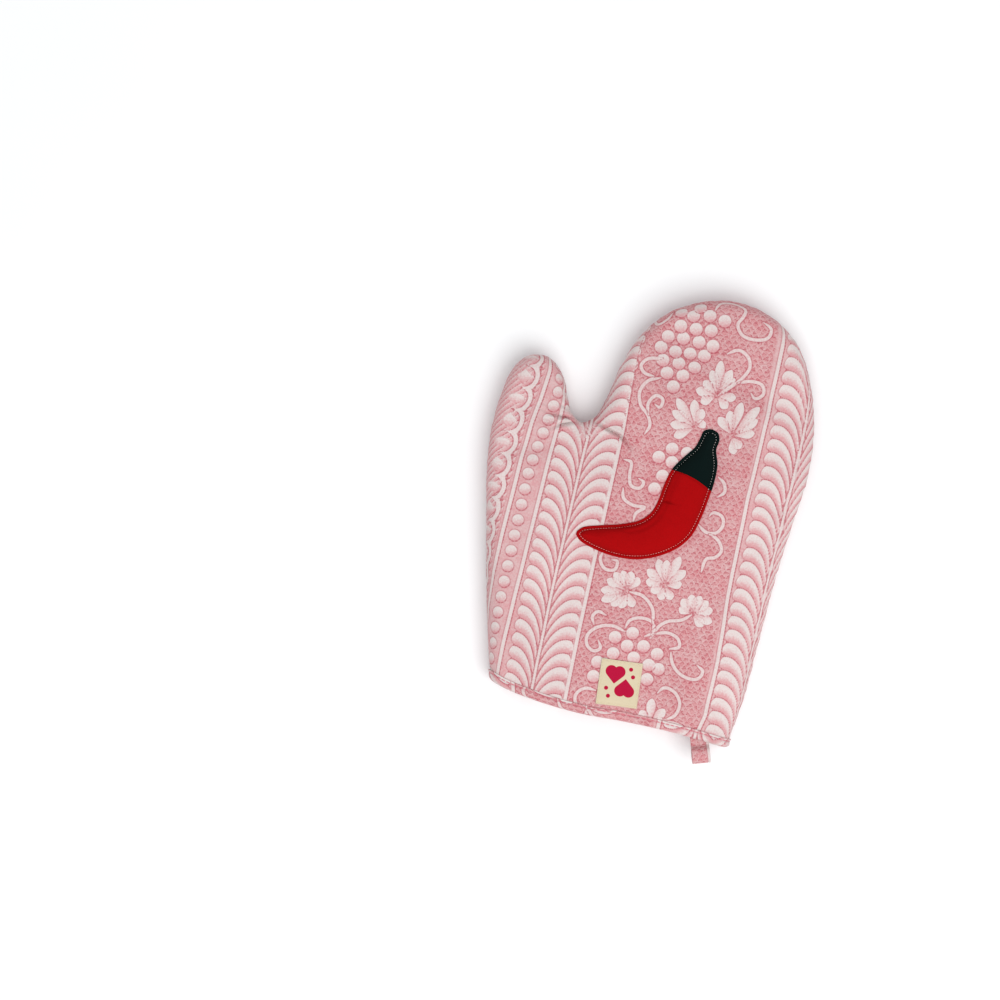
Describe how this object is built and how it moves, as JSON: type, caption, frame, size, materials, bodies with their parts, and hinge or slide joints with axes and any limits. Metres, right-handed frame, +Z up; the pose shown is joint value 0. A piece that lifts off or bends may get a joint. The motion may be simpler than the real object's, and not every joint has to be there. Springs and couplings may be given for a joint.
{
  "type": "oven mitt",
  "caption": "Quilted cotton oven mitt with a thumb, a bound cuff, a hanging loop and a padded chilli applique, lying flat.",
  "frame": {"origin": "centre of the bottom of the bounding box, on the surface the mitt lies on", "axes": "+Y from the cuff towards the finger tips, +Z up out of the decorated side, thumb on the -X side"},
  "size_m": [0.217, 0.3118, 0.0334],
  "materials": {
    "printed_cotton": "printed plain-weave cotton, matt",
    "lining_cotton": "plain unbleached cotton, matt",
    "wadding": "needled cotton wadding, fluffy",
    "red_cotton": "red plain-weave cotton, matt",
    "green_cotton": "very dark green plain-weave cotton, matt",
    "label_cotton": "cream cotton tape, matt",
    "label_thread": "cream sewing thread",
    "white_thread": "white sewing thread",
    "pink_thread": "rose sewing thread"
  },
  "bodies": {
    "hand": {"front_cover_palm": "printed_cotton", "front_wadding_palm": "wadding", "front_lining_palm": "lining_cotton", "back_cover_palm": "printed_cotton", "back_wadding_palm": "wadding", "back_lining_palm": "lining_cotton", "cuff_binding": "printed_cotton", "cuff_binding_stitching": "pink_thread", "applique_pod": "red_cotton", "applique_cap": "green_cotton", "applique_wadding": "wadding", "applique_stitching": "white_thread", "label": "label_cotton", "label_stitching": "label_thread", "hanging_loop_sewn_ends": "printed_cotton"},
    "fingers": {"front_cover_fingers": "printed_cotton", "front_wadding_fingers": "wadding", "front_lining_fingers": "lining_cotton", "back_cover_fingers": "printed_cotton", "back_wadding_fingers": "wadding", "back_lining_fingers": "lining_cotton"},
    "thumb": {"front_cover_thumb": "printed_cotton", "front_wadding_thumb": "wadding", "front_lining_thumb": "lining_cotton", "back_cover_thumb": "printed_cotton", "back_wadding_thumb": "wadding", "back_lining_thumb": "lining_cotton"},
    "loop": {"hanging_loop": "printed_cotton"}
  },
  "joints": [
    {"name": "finger_fold", "type": "hinge", "parent": "hand", "child": "fingers", "pos_m": [0.03549, 0.08858, 0], "axis": [-1, 0, 0], "range_deg": [0, 70], "stiffness_Nm_per_rad": 0.05},
    {"name": "thumb_fold", "type": "hinge", "parent": "hand", "child": "thumb", "pos_m": [-0.06511, 0.06058, 0], "axis": [-0.5, -0.866, 0], "range_deg": [0, 50], "stiffness_Nm_per_rad": 0.02},
    {"name": "loop_swing", "type": "hinge", "parent": "hand", "child": "loop", "pos_m": [0.08119, -0.14252, 0.0201], "axis": [0.9426, 0.3338, 0], "range_deg": [-35, 50]}
  ]
}
